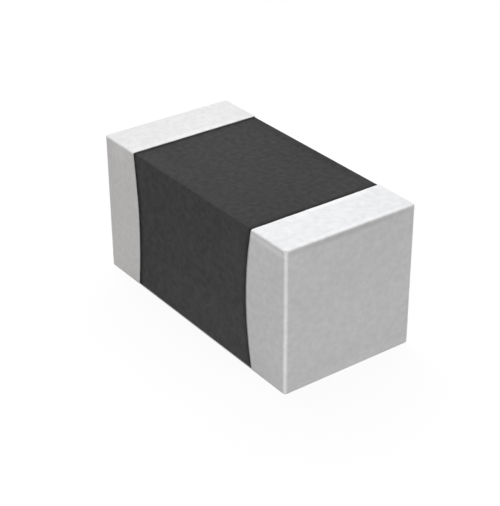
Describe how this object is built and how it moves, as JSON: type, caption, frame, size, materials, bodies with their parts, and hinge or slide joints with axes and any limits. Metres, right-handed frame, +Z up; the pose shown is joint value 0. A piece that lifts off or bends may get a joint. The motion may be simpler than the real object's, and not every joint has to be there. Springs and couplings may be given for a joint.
{
  "type": "chip capacitor",
  "caption": "Surface-mount multilayer ceramic capacitor: a dark rectangular ceramic block with a matte silver wrap-around termination on each end.",
  "frame": {"origin": "middle of the bottom, on the seating plane that the two terminations rest on", "axes": "+X along the length, towards the end whose band bulges further along the sides; +Y across the width; +Z up from the seating plane"},
  "size_m": [0.0032, 0.0016, 0.0016],
  "materials": {
    "dark_ceramic": "matte",
    "matte_tin": "matte",
    "nickel_plate": "satin",
    "fired_copper": "matte",
    "electrode_nickel": "satin"
  },
  "bodies": {
    "root": {"ceramic_body": "dark_ceramic", "left_copper_base": "fired_copper", "left_nickel_barrier": "nickel_plate", "left_tin_finish": "matte_tin", "right_copper_base": "fired_copper", "right_nickel_barrier": "nickel_plate", "right_tin_finish": "matte_tin", "left_electrode_01": "electrode_nickel", "left_electrode_02": "electrode_nickel", "left_electrode_03": "electrode_nickel", "left_electrode_04": "electrode_nickel", "left_electrode_05": "electrode_nickel", "left_electrode_06": "electrode_nickel", "left_electrode_07": "electrode_nickel", "left_electrode_08": "electrode_nickel", "left_electrode_09": "electrode_nickel", "left_electrode_10": "electrode_nickel", "left_electrode_11": "electrode_nickel", "left_electrode_12": "electrode_nickel", "left_electrode_13": "electrode_nickel", "left_electrode_14": "electrode_nickel", "left_electrode_15": "electrode_nickel", "left_electrode_16": "electrode_nickel", "left_electrode_17": "electrode_nickel", "left_electrode_18": "electrode_nickel", "left_electrode_19": "electrode_nickel", "left_electrode_20": "electrode_nickel", "right_electrode_01": "electrode_nickel", "right_electrode_02": "electrode_nickel", "right_electrode_03": "electrode_nickel", "right_electrode_04": "electrode_nickel", "right_electrode_05": "electrode_nickel", "right_electrode_06": "electrode_nickel", "right_electrode_07": "electrode_nickel", "right_electrode_08": "electrode_nickel", "right_electrode_09": "electrode_nickel", "right_electrode_10": "electrode_nickel", "right_electrode_11": "electrode_nickel", "right_electrode_12": "electrode_nickel", "right_electrode_13": "electrode_nickel", "right_electrode_14": "electrode_nickel", "right_electrode_15": "electrode_nickel", "right_electrode_16": "electrode_nickel", "right_electrode_17": "electrode_nickel", "right_electrode_18": "electrode_nickel", "right_electrode_19": "electrode_nickel", "right_electrode_20": "electrode_nickel"}
  },
  "joints": []
}
